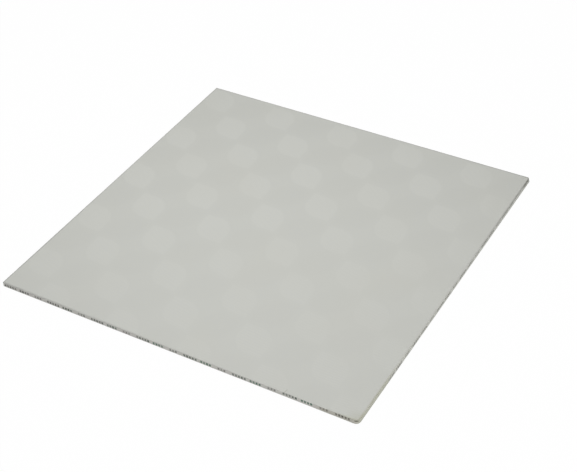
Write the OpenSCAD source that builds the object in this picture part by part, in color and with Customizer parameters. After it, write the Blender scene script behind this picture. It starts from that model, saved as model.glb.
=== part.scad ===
// Square lay-in ceiling board: one flat gypsum panel, lying face up.
// Origin at the middle of the back, +Z out of the decorated face, millimetres.

/* [Board] */
// Length along X, made to drop into a 600 mm ceiling grid with play all round
board_length = 595; // [295:1:1195]
// Width along Y
board_width = 595; // [295:1:1195]
// Thickness from the back to the decorated face
board_thickness = 7.5; // [6:0.1:15]

/* [Edges] */
// Radius of the small arris where the facing meets the sawn edge
face_arris_radius = 0.5; // [0.2:0.1:1.1]
// Radius of the small arris along the back
back_arris_radius = 0.4; // [0.2:0.1:1.1]

/* [Corners] */
// Radius of the three crisp corners, seen from above
corner_radius = 1.2; // [1.2:0.1:12]
// Radius of the corner at +X -Y, blunted where the board was set down on it
worn_corner_radius = 7; // [1.2:0.1:20]

/* [Hidden] */

board_colour = [0.78, 0.78, 0.75];
curve_facets = 64;

// Corners anticlockwise from +X +Y: corner k ends side k, and side 0 faces +X
corner_radii = [corner_radius, corner_radius, corner_radius, worn_corner_radius];
side_count = len(corner_radii);
rim_width = min(corner_radii);

// How far side k lies from the middle of the board, and half its own length
function side_reach(k) = (k % 2 == 0 ? board_length : board_width) / 2;
function side_half_length(k) = side_reach(k + 1);

// Quarter disc, its round side towards +X +Y
module quarter_round(radius) {
    intersection() {
        circle(r = radius, $fn = curve_facets);
        square(radius);
    }
}

// Edge section: x outwards to the edge, y from the back up to the face
module edge_section(width) {
    face_arris_y = board_thickness - face_arris_radius;
    translate([0, back_arris_radius])
        square([width, face_arris_y - back_arris_radius]);
    square([width - back_arris_radius, back_arris_radius]);
    translate([width - back_arris_radius, back_arris_radius])
        mirror([0, 1])
            quarter_round(back_arris_radius);
    translate([0, face_arris_y])
        square([width - face_arris_radius, face_arris_radius]);
    translate([width - face_arris_radius, face_arris_y])
        quarter_round(face_arris_radius);
}

// Straight run of rim along side k, from one corner's tangent to the next
module rim_run(k) {
    run_start = corner_radii[(k + side_count - 1) % side_count] - side_half_length(k);
    run_end = side_half_length(k) - corner_radii[k];
    translate([side_reach(k) - rim_width, run_end, 0])
        rotate([90, 0, 0])
            linear_extrude(height = run_end - run_start)
                edge_section(rim_width);
}

// Quarter turn of rim at the end of side k
module rim_corner(k) {
    radius = corner_radii[k];
    translate([side_reach(k) - radius, side_half_length(k) - radius, 0])
        rotate_extrude(angle = 90, $fn = curve_facets)
            edge_section(radius);
}

// A point turned about the middle of the board by k quarter turns
function quarter_turned(p, k) = k == 0 ? p : quarter_turned([-p[1], p[0]], k - 1);

// Inside of the rim at the end of side k, notched where the corner is rounder than the rim is wide
function field_corner(k) =
    let (radius = corner_radii[k], reach = side_reach(k), half_length = side_half_length(k))
    radius == rim_width
        ? [[reach - radius, half_length - radius]]
        : [
            [reach - rim_width, half_length - radius],
            [reach - radius, half_length - radius],
            [reach - radius, half_length - rim_width]
        ];

// Flat middle of the board, up to the inside of the rim
module flat_field() {
    outline = [
        for (k = [0 : side_count - 1])
            for (p = field_corner(k))
                quarter_turned(p, k)
    ];
    linear_extrude(height = board_thickness)
        polygon(outline);
}

module ceiling_board() {
    color(board_colour)
        union() {
            for (k = [0 : side_count - 1])
                rotate([0, 0, 90 * k])
                    rim_corner(k);
            for (k = [0 : side_count - 1])
                rotate([0, 0, 90 * k])
                    rim_run(k);
            flat_field();
        }
}

ceiling_board();
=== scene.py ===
# %% [markdown]
# # Lay-in ceiling board
#
# The object is one flat board that drops into the grid of a suspended ceiling: a gypsum core with a
# pale vinyl film on its face, a printed strip round its sides and plain paper on its back. The packed
# CAD model comes in first, as a fixed frame. It gives the true size, and every length below is
# worked out from it or named in millimetres.

# %% Load the frame
import math

import bpy
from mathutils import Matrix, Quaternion, Vector


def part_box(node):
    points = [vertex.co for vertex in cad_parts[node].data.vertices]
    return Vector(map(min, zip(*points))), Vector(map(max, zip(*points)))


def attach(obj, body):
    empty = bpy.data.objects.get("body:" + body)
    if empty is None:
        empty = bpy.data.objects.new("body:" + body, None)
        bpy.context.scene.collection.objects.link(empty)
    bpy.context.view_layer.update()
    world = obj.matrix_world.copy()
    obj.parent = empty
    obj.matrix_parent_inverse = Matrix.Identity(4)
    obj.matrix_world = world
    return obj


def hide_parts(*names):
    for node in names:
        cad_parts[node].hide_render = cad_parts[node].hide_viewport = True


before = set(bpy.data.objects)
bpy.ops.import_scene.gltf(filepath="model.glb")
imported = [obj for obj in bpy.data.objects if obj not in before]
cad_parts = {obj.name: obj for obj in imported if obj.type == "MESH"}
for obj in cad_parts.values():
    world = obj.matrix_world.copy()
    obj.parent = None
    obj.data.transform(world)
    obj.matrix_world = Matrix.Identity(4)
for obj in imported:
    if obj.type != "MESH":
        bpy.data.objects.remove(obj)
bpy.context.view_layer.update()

MM = 0.001
board_low, board_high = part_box("ceiling_board")
half_side = (board_high.x - board_low.x) / 2
thickness = board_high.z - board_low.z
print(f"board: {2 * half_side / MM:.1f} mm square, {thickness / MM:.2f} mm thick")

# %% [markdown]
# ## Three helpers
#
# Every node tree below, for geometry, finishes and light alike, is made by one small function: it adds
# a node, sets its settings, fills or links its inputs and gives back the output that comes next. Colours
# are written as sRGB hex values, the way a colour chart gives them, and a second function turns
# them into the linear values that Blender calculates with. A third starts a finish: what is the same all
# over the surface is set on the shader itself, and patterns will read the place on the board.

# %% Node, colour and finish helpers
MATH = "ShaderNodeMath"
VECTOR_MATH = "ShaderNodeVectorMath"


def add(tree, kind, inputs=None, out=0, **settings):
    """Add a node with its settings; fill or link its inputs; give back one of its outputs."""
    node = tree.nodes.new(kind)
    for name, value in settings.items():
        setattr(node, name, value)
    for key, value in (inputs or {}).items():
        if isinstance(value, bpy.types.NodeSocket):
            tree.links.new(value, node.inputs[key])
        else:
            node.inputs[key].default_value = value
    return node if out is None else node.outputs[out]


def linear(hex_colour):
    """Linear RGBA of an sRGB hex colour such as '#C6C7C0'."""
    parts = [int(hex_colour[start:start + 2], 16) / 255 for start in (1, 3, 5)]
    return [part / 12.92 if part <= 0.04045 else ((part + 0.055) / 1.055) ** 2.4 for part in parts] + [1]


def new_finish(name, **constants):
    """Start a finish with constant shader values; give back material, node tree, shader and place."""
    material = bpy.data.materials.new(name)
    material.use_nodes = True
    shader = material.node_tree.nodes["Principled BSDF"]
    for socket, value in constants.items():
        shader.inputs[socket].default_value = value
    place = add(material.node_tree, "ShaderNodeTexCoord", out="Object")
    return material, material.node_tree, shader, place


# %% [markdown]
# ## Face: embossed vinyl film
#
# The face is a calendered PVC film, embossed by a roller while it was warm and then glued to the core.
# That gives the eye a pale, slightly greenish grey with a satin sheen and a very fine grain. Large
# leaves are pressed into it, each filled with fine ribs across. The leaves lie in two directions, so their
# ribs take the sheen differently, and one half of them looks a touch paler and the other a touch darker.
# That difference is painted sheen in the film's colour. It is clearest at the rear and fades towards the
# blunted front corner and along the side behind it, and the fade is painted sheen as well. The geometry
# will store an attribute for the leaves' painted sheen, from -1 to 1, so that it follows the relief
# exactly. The film multiplies it by two fades, each a share that falls along one direction, and a ramp
# turns the product into colours.

# %% Tones of the leaves: painted sheen
# Painted sheen of the leaves: darker leaves, plain film between the leaves, paler leaves
FILM_SHEEN_TONES = {-1: "#C5C6C0", 0: "#C6C7C1", 1: "#CBCCC6"}
# Painted sheen: the tones' strength at the rear and at the front, the way from one to the other and where
# they change
LEAF_SHEEN_STRENGTH = (1, 0.62)
SHEEN_FADE_WAY = Vector((0.5, -0.866, 0))
SHEEN_FADE_PLACE = (-165 * MM, 190 * MM)
# The same painted sheen for the +X side: the share of the tones that is left there, and where they change
SIDE_SHEEN_STRENGTH = 0.7
SIDE_SHEEN_FADE_PLACE = (half_side - 42 * MM, half_side - 20 * MM)

film, tree, shader, place = new_finish("calendered_pvc_film", IOR=1.53)
# Painted sheen of the leaves, from the geometry: -1 on the darker leaves, 1 on the paler ones
painted_leaf_sheen = add(tree, "ShaderNodeAttribute", out="Fac", attribute_name="painted_leaf_sheen")
place_parts = add(tree, "ShaderNodeSeparateXYZ", {0: place}, out=None)
# Painted sheen: the leaves' tones fall off towards the blunted front corner and along the +X side
forward = add(tree, VECTOR_MATH, {0: place, 1: SHEEN_FADE_WAY}, out="Value", operation="DOT_PRODUCT")
sheen_fade = add(tree, "ShaderNodeMapRange",
           {"Value": forward, "From Min": SHEEN_FADE_PLACE[0], "From Max": SHEEN_FADE_PLACE[1],
            "To Min": LEAF_SHEEN_STRENGTH[0], "To Max": LEAF_SHEEN_STRENGTH[1]}, interpolation_type="SMOOTHSTEP")
side_sheen_fade = add(tree, "ShaderNodeMapRange",
                {"Value": place_parts.outputs["X"], "From Min": SIDE_SHEEN_FADE_PLACE[0],
                 "From Max": SIDE_SHEEN_FADE_PLACE[1], "To Min": 1, "To Max": SIDE_SHEEN_STRENGTH},
                interpolation_type="SMOOTHSTEP")
faded_sheen = painted_leaf_sheen
for share in (sheen_fade, side_sheen_fade):
    faded_sheen = add(tree, MATH, {0: faded_sheen, 1: share}, operation="MULTIPLY")
sheen_share = add(tree, "ShaderNodeMapRange", {"Value": faded_sheen, "From Min": -1})
leaf_sheen_ramp = add(tree, "ShaderNodeValToRGB", {"Fac": sheen_share}, out=None)
leaf_sheen_ramp.color_ramp.elements.new(0.5)
for stop, tone in zip(leaf_sheen_ramp.color_ramp.elements, FILM_SHEEN_TONES):
    stop.color = linear(FILM_SHEEN_TONES[tone])
leaf_sheen_colour = leaf_sheen_ramp.outputs["Color"]
print(f"leaves: {len(FILM_SHEEN_TONES)} tones, at {LEAF_SHEEN_STRENGTH[1]:.0%} of their strength in front")

# %% [markdown]
# The valleys between the ribs are darker in the colour: painted shade where the relief dips. A second
# attribute will show where they are: rib_height, from 0 to 1. With age the film has yellowed a little in
# broad patches, and both are mixed over the tones of the leaves. The grain is too fine for geometry, so
# one noise varies the sheen and, as a bump, tilts the surface a little.

# %% Painted valley shade, ageing and grain
# Painted shade in the valleys between the ribs
FILM_VALLEY_SHADE = "#C3C4BE"
FILM_AGED = "#C6C6BE"
AGEING_PATCH = 140 * MM
AGEING_STRENGTH = 0.4
# A pair named _NOISE holds the noise values at which a tone starts to show and shows in full
AGEING_NOISE = (0.45, 0.75)
# The real grain is about 0.2 mm; it is drawn coarser so that it shows at all
FILM_GRAIN = 1.1 * MM
FILM_GRAIN_HEIGHT = 0.012 * MM
FILM_GRAIN_NOISE = (0.3, 0.7)
FILM_ROUGHNESS = (0.5, 0.6)

rib_height = add(tree, "ShaderNodeAttribute", out="Fac", attribute_name="rib_height")
# Painted shade: the colour darkens towards the bottom of each valley
painted_valley_shade = add(tree, "ShaderNodeMapRange", {"Value": rib_height, "From Min": 0.5, "From Max": 0})
valley_shaded_colour = add(tree, "ShaderNodeMix", {0: painted_valley_shade, 6: leaf_sheen_colour, 7: linear(FILM_VALLEY_SHADE)},
                    out=2, data_type="RGBA")
patches = add(tree, "ShaderNodeTexNoise", {"Vector": place, "Scale": 1 / AGEING_PATCH, "Detail": 3})
ageing = add(tree, "ShaderNodeMapRange", {"Value": patches, "From Min": AGEING_NOISE[0],
                                          "From Max": AGEING_NOISE[1], "To Max": AGEING_STRENGTH})
film_colour = add(tree, "ShaderNodeMix", {0: ageing, 6: valley_shaded_colour, 7: linear(FILM_AGED)},
                  out=2, data_type="RGBA")
grain = add(tree, "ShaderNodeTexNoise", {"Vector": place, "Scale": 1 / FILM_GRAIN, "Detail": 2})
sheen = add(tree, "ShaderNodeMapRange", {"Value": grain, "From Min": FILM_GRAIN_NOISE[0],
                                         "From Max": FILM_GRAIN_NOISE[1], "To Min": FILM_ROUGHNESS[0],
                                         "To Max": FILM_ROUGHNESS[1]})
tree.links.new(sheen, shader.inputs["Roughness"])
grain_bump = add(tree, "ShaderNodeBump", {"Height": grain, "Distance": FILM_GRAIN_HEIGHT})
tree.links.new(grain_bump, shader.inputs["Normal"])
print(f"film: ageing in patches of {AGEING_PATCH / MM:.0f} mm, grain of {FILM_GRAIN / MM:.1f} mm")

# %% [markdown]
# Boards are carried by their edges, so the film is soiled along the border, in a band a few millimetres
# wide, and the same band holds painted shade. It changes from one side to the next: painted shade of the
# rounded arris in grey along the rear, an olive stain beside the blunted corner, dark rubbed-off print
# towards the corner after it, and a stretch that stayed clean. The direction from the board's middle, as
# an angle, runs once round the border, and a ramp over that angle holds the colour of the marks and of
# the painted shade and, in its alpha, their strength.

# %% Handling marks and painted shade along the border
BAND_WIDTH = 3.3 * MM
BAND_PATCH = 18 * MM
BAND_NOISE = (0.3, 0.6)
BAND_FAINTEST = 0.5
# Degrees from +X towards +Y, the colour of the marks and painted shade there and their strength
BORDER_MARKS_AND_SHADE = [(-180, "#92928F", 0.7), (-140, "#92928F", 0.9), (-117, "#9C9C96", 0.4), (-85, "#A3A294", 0),
                (-50, "#A3A294", 0), (-44, "#A0A084", 0.8), (-36, "#A0A084", 0.6), (-25, "#A3A294", 0.25),
                (10, "#8E8E84", 0.3), (40, "#5E5E56", 0.8), (45, "#5E5E56", 1), (46, "#92928F", 0.75),
                (90, "#92928F", 0.55), (150, "#92928F", 0.5), (180, "#92928F", 0.7)]

angle = add(tree, MATH, {0: place_parts.outputs["Y"], 1: place_parts.outputs["X"]}, operation="ARCTAN2")
round_share = add(tree, "ShaderNodeMapRange", {"Value": angle, "From Min": -math.pi, "From Max": math.pi})
marks_and_shade_ramp = add(tree, "ShaderNodeValToRGB", {"Fac": round_share}, out=None)
stops = marks_and_shade_ramp.color_ramp.elements
while len(stops) < len(BORDER_MARKS_AND_SHADE):
    stops.new(1)
for stop, (degrees, band_colour, band_strength) in zip(stops, BORDER_MARKS_AND_SHADE):
    stop.position = (degrees + 180) / 360
    stop.color = linear(band_colour)[:3] + [band_strength]

far = add(tree, VECTOR_MATH, {0: place}, operation="ABSOLUTE")
far_parts = add(tree, "ShaderNodeSeparateXYZ", {0: far}, out=None)
to_side = add(tree, MATH, {0: far_parts.outputs["X"], 1: far_parts.outputs["Y"]}, operation="MAXIMUM")
border_share = add(tree, "ShaderNodeMapRange", {"Value": to_side, "From Min": half_side - BAND_WIDTH,
                                                "From Max": half_side}, interpolation_type="SMOOTHSTEP")
band_noise = add(tree, "ShaderNodeTexNoise", {"Vector": place, "Scale": 1 / BAND_PATCH, "Detail": 4})
band_patch = add(tree, "ShaderNodeMapRange", {"Value": band_noise, "From Min": BAND_NOISE[0],
                                              "From Max": BAND_NOISE[1], "To Min": BAND_FAINTEST})
# Real marks and painted shade of the rear arris share one band along the border
marks_and_shade = border_share
for share in (marks_and_shade_ramp.outputs["Alpha"], band_patch):
    marks_and_shade = add(tree, MATH, {0: marks_and_shade, 1: share}, operation="MULTIPLY")
marked_and_shaded_colour = add(tree, "ShaderNodeMix", {0: marks_and_shade, 6: film_colour, 7: marks_and_shade_ramp.outputs["Color"]},
                    out=2, data_type="RGBA")
print(f"border marks: {BAND_WIDTH / MM:.1f} mm wide, {len(BORDER_MARKS_AND_SHADE)} stops round the board")

# %% [markdown]
# The blunted corner also kept a faint olive stain on its face. It is strongest at the corner's tip and fades
# with the distance from it, so that distance, turned into a share, is all the mask it needs.

# %% Faint stain at the blunted corner
STAIN = "#A0A084"
STAIN_REACH = 26 * MM
STAIN_STRENGTH = 0.3

blunted_corner = Vector((half_side, -half_side, thickness))
to_corner = add(tree, VECTOR_MATH, {0: place, 1: blunted_corner}, out="Value", operation="DISTANCE")
stain = add(tree, "ShaderNodeMapRange", {"Value": to_corner, "From Min": STAIN_REACH, "From Max": 0,
                                         "To Max": STAIN_STRENGTH}, interpolation_type="SMOOTHSTEP")
stained_colour = add(tree, "ShaderNodeMix", {0: stain, 6: marked_and_shaded_colour, 7: linear(STAIN)},
                     out=2, data_type="RGBA")
print(f"stain: {STAIN_REACH / MM:.0f} mm from the corner")

# %% [markdown]
# A hand's breadth from the blunted corner something caught the film: one short scratch runs in from the
# front side. Measured along the scratch and across it, a place on the film is inside when both lengths are
# small enough.

# %% Scratch
# The way from the blunted corner to the start of the scratch, and from there to its end
TO_SCRATCH = Vector((-111.6, 0, 0)) * MM
SCRATCH = Vector((1.3, 6.9, 0)) * MM
SCRATCH_WIDTH = 1.3 * MM
SCRATCH_TONE = "#A3A294"
SCRATCH_STRENGTH = 0.5

ahead = SCRATCH.normalized()
from_start = add(tree, VECTOR_MATH, {0: place, 1: blunted_corner + TO_SCRATCH}, operation="SUBTRACT")
scratch_mask = SCRATCH_STRENGTH
for way, middle, half_length in ((ahead, SCRATCH.length / 2, SCRATCH.length / 2),
                                 (Vector((-ahead.y, ahead.x, 0)), 0, SCRATCH_WIDTH / 2)):
    reached = add(tree, VECTOR_MATH, {0: from_start, 1: way}, out="Value", operation="DOT_PRODUCT")
    within = add(tree, MATH, {0: reached, 1: middle, 2: half_length}, operation="COMPARE")
    scratch_mask = add(tree, MATH, {0: within, 1: scratch_mask}, operation="MULTIPLY")
worn_colour = add(tree, "ShaderNodeMix", {0: scratch_mask, 6: stained_colour, 7: linear(SCRATCH_TONE)},
                  out=2, data_type="RGBA")
tree.links.new(worn_colour, shader.inputs["Base Color"])
print(f"scratch: {SCRATCH.length / MM:.1f} mm long; finish:", film.name)

# %% [markdown]
# ## Sides: paper sealing strip
#
# The gypsum is sealed along its sides with a kraft paper strip, folded over from the back. It is matt,
# a little warmer in one place and more olive in another, and carries a line of machine print that wanders
# up and down as the strip was laid. The print is plain ticks in groups. Each side needs its own running
# coordinate: x along the front and rear sides, y along the others. The larger of |x| and |y| tells which
# side it is, so no UV map is needed.

# %% Running coordinates of the strip
strip, tree, shader, place = new_finish("kraft_paper_strip", IOR=1.5, Roughness=0.78)
place_parts = add(tree, "ShaderNodeSeparateXYZ", {0: place}, out=None)
far = add(tree, VECTOR_MATH, {0: place}, operation="ABSOLUTE")
far_parts = add(tree, "ShaderNodeSeparateXYZ", {0: far}, out=None)
on_x_sides = add(tree, MATH, {0: far_parts.outputs["X"], 1: far_parts.outputs["Y"]}, operation="GREATER_THAN")
along = add(tree, "ShaderNodeMix", {0: on_x_sides, 2: place_parts.outputs["X"], 3: place_parts.outputs["Y"]})
height = place_parts.outputs["Z"]
print("strip: four sides of", round(2 * half_side / MM, 1), "mm")

# %% [markdown]
# A machine prints at an even pace, so the ticks are counted: the running coordinate divided by their pitch
# has a whole part, the tick's number, and a fraction, the place within its slot. Slots are counted into
# groups in the same way, and a ramp that doesn't blend its stops holds each group's ink and, in its alpha,
# how much of it there is. An image could do the same, but counting needs no file and stays sharp close up.

# %% Printed ticks
TICK_PITCH = 4.68 * MM
TICK_SHARE = 0.64
TICK_HEIGHT = 4 * MM
GROUP_SLOTS = 17
# Slot where each group of ticks starts, its number of ticks, its ink and how much of it there is
TICK_GROUPS = [(0, 3, "#2A322C", 0.7), (5, 5, "#1C3A2C", 0.9), (11, 4, "#00543C", 1)]
# Along x the line lies level and steps up near the end; along y it climbs all the way and ends sooner
LINE_HEIGHT = 3.6 * MM
LINE_STEP = 1.2 * MM
LINE_STEP_PLACE = (150 * MM, 185 * MM)
LINE_HEIGHT_ON_X_SIDES = 5.1 * MM
LINE_CLIMB_ON_X_SIDES = 2 * MM

ticks = add(tree, MATH, {0: along, 1: TICK_PITCH}, operation="DIVIDE")
in_slot = add(tree, MATH, {0: ticks}, operation="FRACT")
tick_mask = add(tree, MATH, {0: in_slot, 1: 0.5, 2: TICK_SHARE / 2}, operation="COMPARE")
groups = add(tree, MATH, {0: ticks, 1: GROUP_SLOTS}, operation="DIVIDE")
in_group = add(tree, MATH, {0: groups}, operation="FRACT")
group_ramp = add(tree, "ShaderNodeValToRGB", {"Fac": in_group}, out=None)
group_ramp.color_ramp.interpolation = "CONSTANT"
stops = group_ramp.color_ramp.elements
while len(stops) < 2 * len(TICK_GROUPS):
    stops.new(1)
for index, (first_slot, tick_count, ink, amount) in enumerate(TICK_GROUPS):
    stops[2 * index].position = first_slot / GROUP_SLOTS
    stops[2 * index].color = linear(ink)[:3] + [amount]
    stops[2 * index + 1].position = (first_slot + tick_count) / GROUP_SLOTS
    stops[2 * index + 1].color = linear(ink)[:3] + [0]

stepped = add(tree, "ShaderNodeMapRange",
              {"Value": along, "From Min": LINE_STEP_PLACE[0], "From Max": LINE_STEP_PLACE[1],
               "To Min": LINE_HEIGHT, "To Max": LINE_HEIGHT + LINE_STEP}, interpolation_type="SMOOTHSTEP")
climbing = add(tree, MATH, {0: along, 1: LINE_CLIMB_ON_X_SIDES / half_side, 2: LINE_HEIGHT_ON_X_SIDES},
               operation="MULTIPLY_ADD")
line_height = add(tree, "ShaderNodeMix", {0: on_x_sides, 2: stepped, 3: climbing})
line_mask = add(tree, MATH, {0: height, 1: line_height, 2: TICK_HEIGHT / 2}, operation="COMPARE")
print(f"strip: ticks every {TICK_PITCH / MM:.1f} mm, groups every {GROUP_SLOTS * TICK_PITCH / MM:.1f} mm")

# %% [markdown]
# The masks are multiplied together, and three things keep the print from looking like a ruler: every tick
# took a different share of ink, the ink is patchy where the paper fibres took it badly, and the strip is
# bare at the end of each side and for one long stretch beside the blunted corner, as it was joined there.

# %% Share of ink
INK_PATCH = 2.2 * MM
INK_NOISE = (0.3, 0.55)
INK_FAINTEST = 0.85
TICK_FAINTEST = 0.7
INK_SHARE_ON_X_SIDES = 0.8
BARE_STRETCH = 88 * MM
BARE_END = 8 * MM
BARE_END_ON_X_SIDES = 62 * MM

on_plus_x = add(tree, MATH, {0: place_parts.outputs["X"], 1: 0}, operation="GREATER_THAN")
on_bare_side = add(tree, MATH, {0: on_plus_x, 1: on_x_sides}, operation="MULTIPLY")
past_bare = add(tree, MATH, {0: along, 1: BARE_STRETCH - half_side}, operation="LESS_THAN")
bare = add(tree, MATH, {0: on_bare_side, 1: past_bare}, operation="MULTIPLY")
print_end = add(tree, MATH, {0: on_x_sides, 1: BARE_END - BARE_END_ON_X_SIDES, 2: half_side - BARE_END},
                operation="MULTIPLY_ADD")
past_end = add(tree, MATH, {0: along, 1: print_end}, operation="GREATER_THAN")
unprinted = add(tree, MATH, {0: bare, 1: past_end}, operation="MAXIMUM")
printed = add(tree, MATH, {0: 1, 1: unprinted}, operation="SUBTRACT")
ink_noise = add(tree, "ShaderNodeTexNoise", {"Vector": place, "Scale": 1 / INK_PATCH, "Detail": 2})
coverage = add(tree, "ShaderNodeMapRange", {"Value": ink_noise, "From Min": INK_NOISE[0],
                                            "From Max": INK_NOISE[1], "To Min": INK_FAINTEST})
tick_number = add(tree, MATH, {0: ticks}, operation="FLOOR")
tick_chance = add(tree, "ShaderNodeTexWhiteNoise", {"W": tick_number}, noise_dimensions="1D")
tick_weight = add(tree, "ShaderNodeMapRange", {"Value": tick_chance, "To Min": TICK_FAINTEST})
side_ink = add(tree, MATH, {0: on_x_sides, 1: INK_SHARE_ON_X_SIDES - 1, 2: 1}, operation="MULTIPLY_ADD")
ink_mask = coverage
for mask in (tick_weight, tick_mask, group_ramp.outputs["Alpha"], line_mask, side_ink, printed):
    ink_mask = add(tree, MATH, {0: ink_mask, 1: mask}, operation="MULTIPLY")
print(f"print: bare for {BARE_STRETCH / MM:.0f} mm at the join and {BARE_END / MM:.0f} mm at its end")

# %% [markdown]
# Along the front and rear sides the ink is worn at the start and fresh from the middle on, and hands
# browned ink and paper alike towards the end. On the other two sides all the ink is browned. The paper's own
# tint drifts slowly, and it is a little darker at the join.

# %% Colour of ink and paper
STRIP_WARM = "#CCCAC5"
STRIP_OLIVE = "#CACAC2"
STRIP_JOIN = "#BEBEB0"
STRIP_GRUBBY = "#BDBBB1"
STRIP_TINT_LENGTH = 70 * MM
STRIP_TINT_NOISE = (0.4, 0.8)
OLIVE_SHIFT_ON_X_SIDES = 0.35
INK_WORN = "#272D29"
INK_AGED = "#2E2A1E"
# Shares of half a side, from its middle: where worn ink gives way to fresh, and where dirt sets in
WORN_INK = (-0.8, 0)
GRUBBY_END = (0.77, 0.82)
# Paper fibres are about 0.03 mm thick; drawn coarser so that they show
FIBRE = 0.8 * MM
FIBRE_HEIGHT = 0.03 * MM

freshness = add(tree, "ShaderNodeMapRange", {"Value": along, "From Min": WORN_INK[0] * half_side,
                                             "From Max": WORN_INK[1] * half_side})
fresh_ink = add(tree, "ShaderNodeMix", {0: freshness, 6: linear(INK_WORN), 7: group_ramp.outputs["Color"]},
                out=2, data_type="RGBA")
near_end = add(tree, "ShaderNodeMapRange", {"Value": along, "From Min": GRUBBY_END[0] * half_side,
                                            "From Max": GRUBBY_END[1] * half_side})
grubby = add(tree, MATH, {0: near_end, 1: on_x_sides}, operation="SUBTRACT", use_clamp=True)
aged = add(tree, MATH, {0: grubby, 1: on_x_sides}, operation="MAXIMUM")
ink_colour = add(tree, "ShaderNodeMix", {0: aged, 6: fresh_ink, 7: linear(INK_AGED)}, out=2, data_type="RGBA")
tint_noise = add(tree, "ShaderNodeTexNoise", {"Vector": place, "Scale": 1 / STRIP_TINT_LENGTH, "Detail": 3})
tint_shift = add(tree, MATH, {0: on_x_sides, 1: OLIVE_SHIFT_ON_X_SIDES, 2: tint_noise},
                 operation="MULTIPLY_ADD")
tint = add(tree, "ShaderNodeMapRange", {"Value": tint_shift, "From Min": STRIP_TINT_NOISE[0],
                                        "From Max": STRIP_TINT_NOISE[1]})
tinted = add(tree, "ShaderNodeMix", {0: tint, 6: linear(STRIP_WARM), 7: linear(STRIP_OLIVE)},
             out=2, data_type="RGBA")
soiled = add(tree, "ShaderNodeMix", {0: grubby, 6: tinted, 7: linear(STRIP_GRUBBY)}, out=2, data_type="RGBA")
paper = add(tree, "ShaderNodeMix", {0: bare, 6: soiled, 7: linear(STRIP_JOIN)}, out=2, data_type="RGBA")
printed_colour = add(tree, "ShaderNodeMix", {0: ink_mask, 6: paper, 7: ink_colour}, out=2, data_type="RGBA")
fibres = add(tree, "ShaderNodeTexNoise", {"Vector": place, "Scale": 1 / FIBRE, "Detail": 3})
fibre_bump = add(tree, "ShaderNodeBump", {"Height": fibres, "Distance": FIBRE_HEIGHT})
tree.links.new(fibre_bump, shader.inputs["Normal"])
print(f"paper: tint drifts over {STRIP_TINT_LENGTH / MM:.0f} mm")

# %% [markdown]
# The corners took the most dirt, since the board is set down on them and lifted by them. Two of them show
# it: a short dark dash on the blunted corner, and at the corner behind it a smear along the top of the
# strip and a dirty tip. Each patch is a distance from its middle, and heights count for more in it, which
# makes it flat.

# %% Dirt at two corners
STRIP_DIRT = "#45432F"
knocked_corner = Vector((half_side, half_side, thickness))
# Middle of each dirty patch, its reach along the strip and its strength
DIRT_PATCHES = [(blunted_corner + Vector((-3.2, 1.1, -2.2)) * MM, 5.5 * MM, 0.75),
                (knocked_corner + Vector((0, -16.5, 0)) * MM, 17 * MM, 0.6),
                (knocked_corner + Vector((0, -1, -3.5)) * MM, 9 * MM, 0.4)]
# Share of its reach over which a patch is at its full strength
DIRT_CORE = 1 / 3
DIRT_FLATNESS = 3
DIRT_GRAIN = 5 * MM
DIRT_NOISE = (0.3, 0.5)
DIRT_FAINTEST = 0.3

dirt_noise = add(tree, "ShaderNodeTexNoise", {"Vector": place, "Scale": 1 / DIRT_GRAIN, "Detail": 3})
dirt_share = add(tree, "ShaderNodeMapRange", {"Value": dirt_noise, "From Min": DIRT_NOISE[0],
                                              "From Max": DIRT_NOISE[1], "To Min": DIRT_FAINTEST})
dirt = 0
for dirt_place, dirt_reach, dirt_strength in DIRT_PATCHES:
    from_dirt = add(tree, VECTOR_MATH, {0: place, 1: dirt_place}, operation="SUBTRACT")
    flattened = add(tree, VECTOR_MATH, {0: from_dirt, 1: (1, 1, DIRT_FLATNESS)}, operation="MULTIPLY")
    away = add(tree, VECTOR_MATH, {0: flattened}, out="Value", operation="LENGTH")
    near = add(tree, "ShaderNodeMapRange",
               {"Value": away, "From Min": dirt_reach, "From Max": dirt_reach * DIRT_CORE,
                "To Max": dirt_strength}, interpolation_type="SMOOTHSTEP")
    dirt = add(tree, MATH, {0: near, 1: dirt_share, 2: dirt}, operation="MULTIPLY_ADD")
strip_colour = add(tree, "ShaderNodeMix", {0: dirt, 6: printed_colour, 7: linear(STRIP_DIRT)},
                   out=2, data_type="RGBA")
tree.links.new(strip_colour, shader.inputs["Base Color"])
print("finish:", strip.name)

# %% [markdown]
# ## Back: plain lining paper
#
# The back of such a board is the lining paper that the gypsum was cast on: a grey-beige recycled sheet,
# quite matt, with darker and lighter fibres lying mostly along the machine direction. A noise that is
# stretched along X makes the fibres, and a second, broad one makes the cloudy formation of the sheet.

# %% Lining paper
PAPER_PALE = "#BDB9AD"
PAPER_DARK = "#A9A498"
CLOUD = 25 * MM
# Drawn coarser than the real fibres, which are 1 to 3 mm long and far thinner than a pixel
FIBRE_LENGTH = 9 * MM
FIBRE_WIDTH = 1.2 * MM
FIBRE_RELIEF = 0.04 * MM
# Fibres count for this much beside the clouds, and the sum of both runs from dark to pale between these
FIBRE_WEIGHT = 0.6
FORMATION_NOISE = (0.6, 1)

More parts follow.
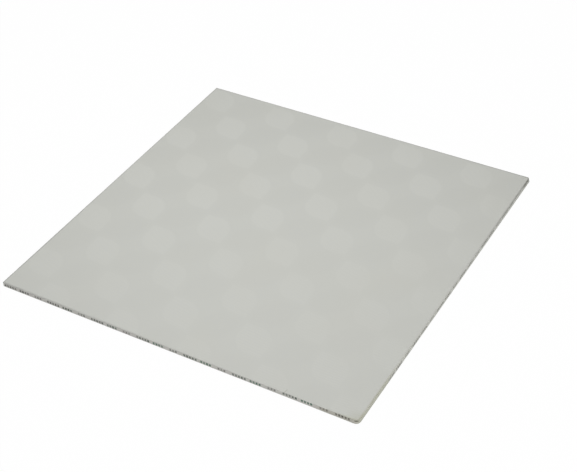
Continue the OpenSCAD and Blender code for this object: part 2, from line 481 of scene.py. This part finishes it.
backing, tree, shader, place = new_finish("recycled_lining_paper", IOR=1.5, Roughness=0.85)
fibre_place = add(tree, "ShaderNodeMapping", {"Vector": place,
                                              "Scale": (1 / FIBRE_LENGTH, 1 / FIBRE_WIDTH, 1)})
fibres = add(tree, "ShaderNodeTexNoise", {"Vector": fibre_place, "Scale": 1, "Detail": 4})
clouds = add(tree, "ShaderNodeTexNoise", {"Vector": place, "Scale": 1 / CLOUD, "Detail": 3})
formation = add(tree, MATH, {0: fibres, 1: FIBRE_WEIGHT, 2: clouds}, operation="MULTIPLY_ADD")
paper_share = add(tree, "ShaderNodeMapRange", {"Value": formation, "From Min": FORMATION_NOISE[0],
                                               "From Max": FORMATION_NOISE[1]})
paper_colour = add(tree, "ShaderNodeMix", {0: paper_share, 6: linear(PAPER_DARK), 7: linear(PAPER_PALE)},
                   out=2, data_type="RGBA")
tree.links.new(paper_colour, shader.inputs["Base Color"])
paper_bump = add(tree, "ShaderNodeBump", {"Height": fibres, "Distance": FIBRE_RELIEF})
tree.links.new(paper_bump, shader.inputs["Normal"])
print("finish:", backing.name)

# %% [markdown]
# ## Board: one Geometry Nodes tree
#
# The whole board follows a few rules, so Geometry Nodes build it: a fine grid for the face, pressed into
# leaves and ribs, and then a rim that is pulled from the grid's border, over the arris, down the side and
# under the back. A displacement texture could press the leaves too, but a tree keeps the relief in the
# mesh itself and lets the ribs run exactly across each leaf. The sizes are the tree's named inputs. The
# radii repeat the CAD model's, which the frame doesn't carry as numbers.

# %% Sizes of the board
# Even steps of the face's grid from side to side, and narrow ones along its border for the round corners
GRID_STEPS = 290
MARGIN_STEPS = 4
FACE_ARRIS = 0.5 * MM
MARGIN_STEP = 0.2 * MM

face_half = half_side - FACE_ARRIS
grid_step = (face_half - MARGIN_STEPS * MARGIN_STEP) / (GRID_STEPS / 2)
board_inputs = {
    "Half Side": half_side,
    "Thickness": thickness,
    "Face Arris": FACE_ARRIS,
    "Back Arris": 0.4 * MM,
    "Corner Radius": 1.2 * MM,
    "Worn Corner Radius": 7 * MM,
    "Knock Reach": 7 * MM,
    "Grid Step": grid_step,
    "Margin Step": MARGIN_STEP,
    "Relief Depth": 0.06 * MM,
    "Dark Rib Share": 0.3,
    "Leaf Roundness": 0.5,
    "Leaf Inset": 0.045,
    "Leaf Softness": 0.05,
    "Dark Leaf Softness": 0.15,
    "Film": film,
    "Strip": strip,
    "Backing": backing,
}

board_tree = bpy.data.node_groups.new("embossed_board", "GeometryNodeTree")
for name, value in board_inputs.items():
    kind = "NodeSocketFloat" if isinstance(value, float) else "NodeSocketMaterial"
    board_tree.interface.new_socket(name, in_out="INPUT", socket_type=kind)
board_tree.interface.new_socket("Board", in_out="OUTPUT", socket_type="NodeSocketGeometry")
size = add(board_tree, "NodeGroupInput", out=None).outputs
print(f"grid of {grid_step / MM:.2f} mm, ribs every {grid_step * math.sqrt(2) / MM:.2f} mm")

# %% [markdown]
# ### Leaves
#
# The grid starts in whole steps, so a vertex knows its place in the pattern by counting. The face is
# divided into nearly square cells, and each cell holds one leaf from corner to corner: the cell drawn in a
# little all round, with its two other corners rounded away. The leaf's direction alternates like the
# colours of a chessboard, so one direction is mirrored into the other, and a single outline serves both.
# `inside` is the distance to that outline, in cells. The paler leaves end in a crisp border, and the painted
# sheen of the darker ones fades out softly as far as the cell's own border.

# %% Leaf outline
# Plan of a cell; the third length only keeps its division from being by zero
CELL = Vector((61, 61.6, 1000)) * MM
# A corner of four cells, near the middle of the board: the film was cut without regard to its pattern
PATTERN_ORIGIN = Vector((5.8, -14.6, 0)) * MM

grid_size = GRID_STEPS + 2 * MARGIN_STEPS
grid = add(board_tree, "GeometryNodeMeshGrid", {"Size X": grid_size, "Size Y": grid_size,
                                                "Vertices X": grid_size + 1, "Vertices Y": grid_size + 1})
counted = add(board_tree, "GeometryNodeInputPosition")
shifted = add(board_tree, VECTOR_MATH, {0: counted, 1: PATTERN_ORIGIN / grid_step}, operation="SUBTRACT")
cell = add(board_tree, VECTOR_MATH, {0: shifted, 1: CELL / grid_step}, operation="DIVIDE")
cell_number = add(board_tree, VECTOR_MATH, {0: cell}, operation="FLOOR")
cell_sum = add(board_tree, VECTOR_MATH, {0: cell_number, 1: (1, 1, 0)}, out="Value", operation="DOT_PRODUCT")
pale = add(board_tree, MATH, {0: cell_sum, 1: 2}, operation="FLOORED_MODULO")
in_cell = add(board_tree, VECTOR_MATH, {0: cell}, operation="FRACTION")
in_cell_parts = add(board_tree, "ShaderNodeSeparateXYZ", {0: in_cell}, out=None)
across = add(board_tree, MATH, {0: pale, 1: in_cell_parts.outputs["X"]}, operation="SUBTRACT")
mirrored = add(board_tree, MATH, {0: across}, operation="ABSOLUTE")
larger = add(board_tree, MATH, {0: mirrored, 1: in_cell_parts.outputs["Y"]}, operation="MAXIMUM")
smaller = add(board_tree, MATH, {0: mirrored, 1: in_cell_parts.outputs["Y"]}, operation="MINIMUM")
roundness = size["Leaf Roundness"]
bow = add(board_tree, MATH, {0: roundness, 1: size["Leaf Inset"]}, operation="ADD")
straight = add(board_tree, MATH, {0: 1, 1: bow}, operation="SUBTRACT")
past_x = add(board_tree, MATH, {0: larger, 1: straight}, operation="SUBTRACT")
past_y = add(board_tree, MATH, {0: bow, 1: smaller}, operation="SUBTRACT")
past = add(board_tree, "ShaderNodeCombineXYZ", {"X": past_x, "Y": past_y})
past_corner = add(board_tree, VECTOR_MATH, {0: past, 1: (0, 0, 0)}, operation="MAXIMUM")
from_centre = add(board_tree, VECTOR_MATH, {0: past_corner}, out="Value", operation="LENGTH")
inside = add(board_tree, MATH, {0: roundness, 1: from_centre}, operation="SUBTRACT")
leaf = add(board_tree, MATH, {0: inside, 1: size["Leaf Softness"]}, operation="DIVIDE", use_clamp=True)
# Mask of the darker leaves, used only for their painted sheen
from_cell = add(board_tree, MATH, {0: inside, 1: size["Leaf Inset"]}, operation="ADD")
dark_leaf_sheen = add(board_tree, MATH, {0: from_cell, 1: size["Dark Leaf Softness"]}, operation="DIVIDE",
                use_clamp=True)
print("leaf outline: square cell with two corners rounded by", board_inputs["Leaf Roundness"], "of its side")

# %% [markdown]
# ### Ribs
#
# Every other vertex along a row is raised, as on a chessboard. Whether that makes ribs along one diagonal
# or the other depends only on how each grid square is split into two triangles, so the squares of
# the pale cells are split one way and the rest the other way, and all ribs run across their leaf. The
# darker leaves have fainter ribs. Real ribs lie 2.5 mm apart; here the grid makes them a little coarser, to
# keep the mesh light. Two attributes go with the vertices for the film: the leaf's painted sheen and the
# rib's height.

# %% Painted sheen and height of the relief
step_sum = add(board_tree, VECTOR_MATH, {0: counted, 1: (1, 1, 0)}, out="Value", operation="DOT_PRODUCT")
raised = add(board_tree, MATH, {0: step_sum, 1: 2}, operation="FLOORED_MODULO")
reach = add(board_tree, VECTOR_MATH, {0: counted}, operation="ABSOLUTE")
sides = add(board_tree, VECTOR_MATH, {0: counted}, operation="SIGN")
even_part = add(board_tree, VECTOR_MATH, {0: reach, 1: (GRID_STEPS / 2,) * 3}, operation="MINIMUM")
margin_part = add(board_tree, VECTOR_MATH, {0: reach, 1: even_part}, operation="SUBTRACT")
in_margin = add(board_tree, VECTOR_MATH, {0: margin_part}, out="Value", operation="LENGTH")
pressed = add(board_tree, MATH, {0: 1, 1: in_margin}, operation="SUBTRACT", use_clamp=True)
leaf_pressed = add(board_tree, MATH, {0: leaf, 1: pressed}, operation="MULTIPLY")

# Painted sheen of the leaves, for the film's colour only; the relief doesn't use it
shade = add(board_tree, MATH, {0: dark_leaf_sheen, 1: -1}, operation="MULTIPLY")
painted_leaf_sheen = add(board_tree, "ShaderNodeMix", {0: pale, 2: shade, 3: leaf})
tone = add(board_tree, MATH, {0: painted_leaf_sheen, 1: pressed}, operation="MULTIPLY")
rib = add(board_tree, MATH, {0: raised, 1: 0.5}, operation="SUBTRACT")
rib_share = add(board_tree, "ShaderNodeMix", {0: pale, 2: size["Dark Rib Share"], 3: 1})
leaf_rib = add(board_tree, MATH, {0: rib, 1: rib_share}, operation="MULTIPLY")
rib_level = add(board_tree, MATH, {0: leaf_rib, 1: leaf_pressed, 2: 0.5}, operation="MULTIPLY_ADD")
print("ribs of the darker leaves:", board_inputs["Dark Rib Share"], "of the others' height")

# %% [markdown]
# The counted steps now become lengths, with one size for the even steps and another for the narrow ones
# along the border. Each vertex gets its place in plan, and its height is that of the face less the depth of
# the relief there.

# %% Press the face
split_pale = add(board_tree, "GeometryNodeTriangulate", {"Mesh": grid, "Selection": pale},
                 quad_method="FIXED")
split = add(board_tree, "GeometryNodeTriangulate", {"Mesh": split_pale}, quad_method="FIXED_ALTERNATE")
toned = add(board_tree, "GeometryNodeStoreNamedAttribute",
            {"Geometry": split, "Name": "painted_leaf_sheen", "Value": tone})
ribbed = add(board_tree, "GeometryNodeStoreNamedAttribute",
             {"Geometry": toned, "Name": "rib_height", "Value": rib_level})

even_length = add(board_tree, VECTOR_MATH, {0: even_part, "Scale": size["Grid Step"]}, operation="SCALE")
margin_length = add(board_tree, VECTOR_MATH, {0: margin_part, "Scale": size["Margin Step"]},
                    operation="SCALE")
length = add(board_tree, VECTOR_MATH, {0: even_length, 1: margin_length}, operation="ADD")
plan = add(board_tree, VECTOR_MATH, {0: length, 1: sides}, operation="MULTIPLY")
rib_depth = add(board_tree, MATH, {0: 1, 1: rib_level}, operation="SUBTRACT")
pressed_depth = add(board_tree, MATH, {0: rib_depth, 1: pressed}, operation="MULTIPLY")
depth = add(board_tree, MATH, {0: pressed_depth, 1: size["Relief Depth"]}, operation="MULTIPLY")
face_height = add(board_tree, MATH, {0: size["Thickness"], 1: depth}, operation="SUBTRACT")
lift = add(board_tree, "ShaderNodeCombineXYZ", {"Z": face_height})
board = add(board_tree, "GeometryNodeSetPosition", {"Geometry": ribbed, "Position": plan, "Offset": lift})
print(f"relief: {board_inputs['Relief Depth'] / MM:.2f} mm deep")

# %% [markdown]
# ### Corners
#
# So far the face is a plain square. Near each corner, the small square patch of vertices is now bent into a
# quarter disc with the elliptical square-to-disc map, x' = x sqrt(1 - y^2 / 2): lines stay joined to their
# neighbours and nothing has to be cut. Three corners are crisp. The fourth, towards +X and -Y, was
# blunted when the board was set down on it, so it gets a larger radius. The bent place, measured from
# the corner's centre, also points straight out of the board all along the border, on the sides and round
# the corners alike, so it is stored as the direction in which the rim will be pulled.

# %% Round the corners
here = add(board_tree, "GeometryNodeInputPosition")
here_parts = add(board_tree, "ShaderNodeSeparateXYZ", {0: here}, out=None)
at_plus_x = add(board_tree, MATH, {0: here_parts.outputs["X"], 1: 0}, operation="GREATER_THAN")
at_minus_y = add(board_tree, MATH, {0: here_parts.outputs["Y"], 1: 0}, operation="LESS_THAN")
worn = add(board_tree, MATH, {0: at_plus_x, 1: at_minus_y}, operation="MULTIPLY")
radius = add(board_tree, "ShaderNodeMix", {0: worn, 2: size["Corner Radius"], 3: size["Worn Corner Radius"]})
face_radius = add(board_tree, MATH, {0: radius, 1: size["Face Arris"]}, operation="SUBTRACT")
centre = add(board_tree, MATH, {0: size["Half Side"], 1: radius}, operation="SUBTRACT")
# Higher than the board, so that heights never count
centre_place = add(board_tree, "ShaderNodeCombineXYZ", {"X": centre, "Y": centre, "Z": size["Half Side"]})
far = add(board_tree, VECTOR_MATH, {0: here}, operation="ABSOLUTE")
beyond = add(board_tree, VECTOR_MATH, {0: far, 1: centre_place}, operation="SUBTRACT")
patch = add(board_tree, VECTOR_MATH, {0: beyond, 1: (0, 0, 0)}, operation="MAXIMUM")
patch_parts = add(board_tree, "ShaderNodeSeparateXYZ", {0: patch}, out=None)

bent = {}
for axis, other in (("X", "Y"), ("Y", "X")):
    share = add(board_tree, MATH, {0: patch_parts.outputs[other], 1: face_radius}, operation="DIVIDE")
    squared = add(board_tree, MATH, {0: share, 1: share}, operation="MULTIPLY")
    shrunk = add(board_tree, MATH, {0: squared, 1: -0.5, 2: 1}, operation="MULTIPLY_ADD")
    factor = add(board_tree, MATH, {0: shrunk}, operation="SQRT")
    bent[axis] = add(board_tree, MATH, {0: patch_parts.outputs[axis], 1: factor}, operation="MULTIPLY")
bent_patch = add(board_tree, "ShaderNodeCombineXYZ", bent)
here_sides = add(board_tree, VECTOR_MATH, {0: here}, operation="SIGN")
bent_way = add(board_tree, VECTOR_MATH, {0: bent_patch}, operation="NORMALIZE")
outward = add(board_tree, VECTOR_MATH, {0: bent_way, 1: here_sides}, operation="MULTIPLY")
marked = add(board_tree, "GeometryNodeStoreNamedAttribute",
             {"Geometry": board, "Name": "outward", "Value": outward}, data_type="FLOAT_VECTOR")
bend = add(board_tree, VECTOR_MATH, {0: bent_patch, 1: patch}, operation="SUBTRACT")
corner_move = add(board_tree, VECTOR_MATH, {0: bend, 1: here_sides}, operation="MULTIPLY")
board = add(board_tree, "GeometryNodeSetPosition", {"Geometry": marked, "Offset": corner_move})
print(f"corners: three of {board_inputs['Corner Radius'] / MM:.1f} mm radius,",
      f"one of {board_inputs['Worn Corner Radius'] / MM:.1f} mm")

# %% [markdown]
# ### Rim
#
# The rim is a profile swept round the border. Sweeping a curve would mean matching its points to the grid
# by hand. Extruding the border edges keeps them matched: each ring of new vertices is pulled out of the
# last one, along the stored outward direction and down. Three rings make the small arris of the face, one
# the flat side, three the arris of the back, and a last one is drawn in to the middle.

# %% Pull out the rim
FACE_ARRIS_RINGS = 3
BACK_ARRIS_RINGS = 3
WELD_DISTANCE = 0.001 * MM

edge_faces = add(board_tree, "GeometryNodeInputMeshEdgeNeighbors")
open_edges = add(board_tree, "FunctionNodeCompare", {2: edge_faces, 3: 1}, data_type="INT", operation="EQUAL")
outward_stored = add(board_tree, "GeometryNodeInputNamedAttribute", {"Name": "outward"},
                     data_type="FLOAT_VECTOR")


def pull_ring(mesh, radius, out_share, up_share):
    """Add a ring of faces, moved out and up by shares of a radius; give back the mesh and the ring."""
    pulled = add(board_tree, "GeometryNodeExtrudeMesh",
                 {"Mesh": mesh, "Selection": open_edges, "Offset Scale": 0}, out=None, mode="EDGES")
    out_step = add(board_tree, MATH, {0: radius, 1: out_share}, operation="MULTIPLY")
    up_step = add(board_tree, MATH, {0: radius, 1: up_share}, operation="MULTIPLY")
    out_move = add(board_tree, VECTOR_MATH, {0: outward_stored, "Scale": out_step}, operation="SCALE")
    up_move = add(board_tree, "ShaderNodeCombineXYZ", {"Z": up_step})
    move = add(board_tree, VECTOR_MATH, {0: out_move, 1: up_move}, operation="ADD")
    moved = add(board_tree, "GeometryNodeSetPosition",
                {"Geometry": pulled.outputs["Mesh"], "Selection": pulled.outputs["Top"], "Offset": move})
    return moved, pulled.outputs["Side"]


def arris_angles(rings):
    """Start and end of each ring of an arris, as angles over a quarter turn."""
    angles = [math.radians(90 * ring / rings) for ring in range(rings + 1)]
    return zip(angles, angles[1:])


film_sides = []
for start, end in arris_angles(FACE_ARRIS_RINGS):
    board, side = pull_ring(board, size["Face Arris"], math.sin(end) - math.sin(start),
                            math.cos(end) - math.cos(start))
    film_sides.append(side)

both_arrises = add(board_tree, MATH, {0: size["Face Arris"], 1: size["Back Arris"]}, operation="ADD")
side_height = add(board_tree, MATH, {0: size["Thickness"], 1: both_arrises}, operation="SUBTRACT")
board, side = pull_ring(board, side_height, 0, -1)
strip_sides = [side]
for start, end in arris_angles(BACK_ARRIS_RINGS):
    board, side = pull_ring(board, size["Back Arris"], math.cos(end) - math.cos(start),
                            math.sin(start) - math.sin(end))
    strip_sides.append(side)

closing = add(board_tree, "GeometryNodeExtrudeMesh",
              {"Mesh": board, "Selection": open_edges, "Offset Scale": 0}, out=None, mode="EDGES")
middle = add(board_tree, "ShaderNodeCombineXYZ")
drawn_in = add(board_tree, "GeometryNodeSetPosition",
               {"Geometry": closing.outputs["Mesh"], "Selection": closing.outputs["Top"], "Position": middle})
board = add(board_tree, "GeometryNodeMergeByDistance", {"Geometry": drawn_in, "Distance": WELD_DISTANCE})
back_side = closing.outputs["Side"]
print("rim:", len(film_sides) + len(strip_sides), "rings and a closed back")

# %% [markdown]
# ### Knocked corner
#
# The corner at +X +Y took a blow along its rear side: its top is pushed in by two millimetres, while its
# foot stayed where it was. No new vertices are needed for that. Those near the corner move, the higher and
# the nearer the more, along one direction.

# %% Push the corner in
KNOCK = Vector((-1.9, 0, 0)) * MM

spot = add(board_tree, "GeometryNodeInputPosition")
spot_plan = add(board_tree, VECTOR_MATH, {0: spot, 1: (1, 1, 0)}, operation="MULTIPLY")
corner_plan = add(board_tree, "ShaderNodeCombineXYZ", {"X": size["Half Side"], "Y": size["Half Side"]})
from_corner = add(board_tree, VECTOR_MATH, {0: spot_plan, 1: corner_plan}, out="Value", operation="DISTANCE")
nearness = add(board_tree, "ShaderNodeMapRange", {"Value": from_corner, "From Min": size["Knock Reach"],
                                                  "From Max": 0}, interpolation_type="SMOOTHSTEP")
spot_height = add(board_tree, "ShaderNodeSeparateXYZ", {0: spot}, out="Z")
rise = add(board_tree, MATH, {0: spot_height, 1: size["Thickness"]}, operation="DIVIDE")
knock_share = add(board_tree, MATH, {0: nearness, 1: rise}, operation="MULTIPLY")
knock_move = add(board_tree, VECTOR_MATH, {0: KNOCK, "Scale": knock_share}, operation="SCALE")
board = add(board_tree, "GeometryNodeSetPosition", {"Geometry": board, "Offset": knock_move})
print(f"knocked corner: {KNOCK.length / MM:.1f} mm in, over {board_inputs['Knock Reach'] / MM:.1f} mm")

# %% [markdown]
# ### Finish the tree
#
# The ribs want flat faces, because their edges are crisp, while the rim is shaded smooth. The three
# finishes then go on by the selections that each extrusion handed out. Last, the tree runs on an empty
# object, its result becomes a plain mesh, and the modifier goes away.

# %% Shade and dress
def any_of(selections):
    """One selection that holds wherever one of several does."""
    joined = selections[0]
    for selection in selections[1:]:
        joined = add(board_tree, "FunctionNodeBooleanMath", {0: joined, 1: selection}, operation="OR")
    return joined


strip_faces = any_of(strip_sides)
rim_faces = any_of(film_sides + [strip_faces])
board = add(board_tree, "GeometryNodeSetShadeSmooth", {"Geometry": board, "Shade Smooth": False})
board = add(board_tree, "GeometryNodeSetShadeSmooth", {"Geometry": board, "Selection": rim_faces})
board = add(board_tree, "GeometryNodeRemoveAttribute", {"Geometry": board, "Name": "outward"})
board = add(board_tree, "GeometryNodeRealizeInstances", {"Geometry": board})
board = add(board_tree, "GeometryNodeSetMaterial", {"Geometry": board, "Material": size["Film"]})
board = add(board_tree, "GeometryNodeSetMaterial",
            {"Geometry": board, "Selection": strip_faces, "Material": size["Strip"]})
board = add(board_tree, "GeometryNodeSetMaterial",
            {"Geometry": board, "Selection": back_side, "Material": size["Backing"]})
add(board_tree, "NodeGroupOutput", {"Board": board}, out=None)
print("board tree:", len(board_tree.nodes), "nodes")

# %% Evaluate
embossed_board = bpy.data.objects.new("embossed_board", bpy.data.meshes.new("embossed_board"))
bpy.context.scene.collection.objects.link(embossed_board)
modifier = embossed_board.modifiers.new("board", "NODES")
modifier.node_group = board_tree
for socket in board_tree.interface.items_tree:
    if socket.in_out == "INPUT":
        modifier[socket.identifier] = board_inputs[socket.name]
depsgraph = bpy.context.evaluated_depsgraph_get()
evaluated = embossed_board.evaluated_get(depsgraph)
made = bpy.data.meshes.new_from_object(evaluated, preserve_all_data_layers=True, depsgraph=depsgraph)
# The grid node starts with an empty finish slot, which nothing uses any more
made.materials.pop(index=0)
embossed_board.modifiers.remove(modifier)
embossed_board.data = made
made.calc_loop_triangles()
print(f"embossed_board: {len(made.vertices)} vertices, {len(made.loop_triangles)} triangles,",
      "finishes", [finish.name for finish in made.materials])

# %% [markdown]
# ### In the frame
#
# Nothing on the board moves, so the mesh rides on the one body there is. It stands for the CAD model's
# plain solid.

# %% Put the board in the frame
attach(embossed_board, "root")
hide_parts("ceiling_board")
print("embossed_board rides on root and stands for ceiling_board")

# %% [markdown]
# ## Floor, world and lamps
#
# The board lies on a plain white floor in an even, nearly shadowless light. A bright floor would need more
# light than the board can take, so for the camera and for reflections the floor and the world are mostly
# a steady white of strength 1, while for everything else the floor is an ordinary pale surface that still
# takes the board's shadow. One softbox overhead, a little towards the rear corner, gives the slow fall in
# brightness from the middle of the face to its corners. A fill lamp, low, farther off and to the right of
# the camera, keeps the sides from going dark. It is left out of reflections, because seen from the rear it
# would turn the satin face white.

# %% Floor
FLOOR_HALF = 6
FLOOR_DROP = 0.3 * MM
FLOOR_PALE = "#F4F4F4"
FLOOR_WHITE_SHARE = 0.985
WHITE = "#FFFFFF"


def seen_share(tree):
    """1 for rays from the camera, straight, reflected or through glass, and 0 for all others."""
    ray = add(tree, "ShaderNodeLightPath", out=None)
    seen = ray.outputs["Is Camera Ray"]
    for kind in ("Is Glossy Ray", "Is Transmission Ray"):
        seen = add(tree, MATH, {0: seen, 1: ray.outputs[kind]}, operation="MAXIMUM")
    return seen


floor_mesh = bpy.data.meshes.new("floor")
floor_corners = [(x * FLOOR_HALF, y * FLOOR_HALF, -FLOOR_DROP)
                 for x, y in ((-1, -1), (1, -1), (1, 1), (-1, 1))]
floor_mesh.from_pydata(floor_corners, [], [(0, 1, 2, 3)])
floor = bpy.data.objects.new("floor", floor_mesh)
bpy.context.scene.collection.objects.link(floor)
floor_finish = bpy.data.materials.new("white_studio_floor")
floor_finish.use_nodes = True
tree = floor_finish.node_tree
tree.nodes.remove(tree.nodes["Principled BSDF"])
white_share = add(tree, MATH, {0: seen_share(tree), 1: FLOOR_WHITE_SHARE}, operation="MULTIPLY")
matt = add(tree, "ShaderNodeBsdfDiffuse", {"Color": linear(FLOOR_PALE)})
white = add(tree, "ShaderNodeEmission", {"Color": linear(WHITE), "Strength": 1})
floor_shader = add(tree, "ShaderNodeMixShader", {0: white_share, 1: matt, 2: white})
tree.links.new(floor_shader, tree.nodes["Material Output"].inputs["Surface"])
floor_mesh.materials.append(floor_finish)
print("floor:", 2 * FLOOR_HALF, "m square")

# %% World
AMBIENT = 0.25

world = bpy.data.worlds.new("white_tent")
world.use_nodes = True
bpy.context.scene.world = world
tree = world.node_tree
strength = add(tree, "ShaderNodeMapRange", {"Value": seen_share(tree), "To Min": AMBIENT, "To Max": 1})
background = tree.nodes["Background"]
background.inputs["Color"].default_value = linear(WHITE)
tree.links.new(strength, background.inputs["Strength"])
print("world: white, ambient light of", AMBIENT)

# %% Lamps
LAMP_SIDE = 0.95
LAMP_PLACE = Vector((-0.129, 0.039, 1.09))
LAMP_POWER = 8.2
FILL_SIDE = 1
FILL_PLACE = Vector((1.83, -1.43, 0.94))
FILL_POWER = 20


def softbox(name, place, side, power):
    """A square area lamp, facing straight down."""
    lamp_data = bpy.data.lights.new(name, "AREA")
    lamp_data.size = side
    lamp_data.energy = power
    lamp = bpy.data.objects.new(name, lamp_data)
    lamp.location = place
    bpy.context.scene.collection.objects.link(lamp)
    return lamp


softbox("overhead_softbox", LAMP_PLACE, LAMP_SIDE, LAMP_POWER)
fill = softbox("low_fill", FILL_PLACE, FILL_SIDE, FILL_POWER)
fill.rotation_mode = "QUATERNION"
fill.rotation_quaternion = FILL_PLACE.to_track_quat("Z", "Y")
fill.visible_glossy = False
print("lamps:", LAMP_POWER, "W overhead,", FILL_POWER, "W fill")

# %% [markdown]
# ## Camera
#
# The photograph was taken from about two metres, 39 degrees above the floor, past the blunted corner,
# with the camera leaning a little to one side. The four corners of a square of known size fix all of
# that: distance and lens together give the perspective, and the lean turns the camera about its own axis.

# %% Camera
CAMERA_TARGET = Vector((21.6, -0.3, 0)) * MM
CAMERA_DISTANCE = 1993.9 * MM
CAMERA_AZIMUTH = math.radians(31.59)
CAMERA_ELEVATION = math.radians(39.105)
CAMERA_LEAN = math.radians(-2.734)
SENSOR_WIDTH = 36
FOCAL_LENGTH = 80.75

towards_camera = Vector((math.sin(CAMERA_AZIMUTH) * math.cos(CAMERA_ELEVATION),
                         -math.cos(CAMERA_AZIMUTH) * math.cos(CAMERA_ELEVATION),
                         math.sin(CAMERA_ELEVATION)))
camera_data = bpy.data.cameras.new("camera")
camera_data.sensor_width = SENSOR_WIDTH
camera_data.lens = FOCAL_LENGTH
camera = bpy.data.objects.new("camera", camera_data)
camera.location = CAMERA_TARGET + towards_camera * CAMERA_DISTANCE
camera.rotation_mode = "QUATERNION"
camera.rotation_quaternion = towards_camera.to_track_quat("Z", "Y") @ Quaternion((0, 0, 1), CAMERA_LEAN)
bpy.context.scene.collection.objects.link(camera)
bpy.context.scene.camera = camera
bpy.context.scene.view_settings.view_transform = "Standard"
print("camera:", [round(value, 4) for value in camera.location])
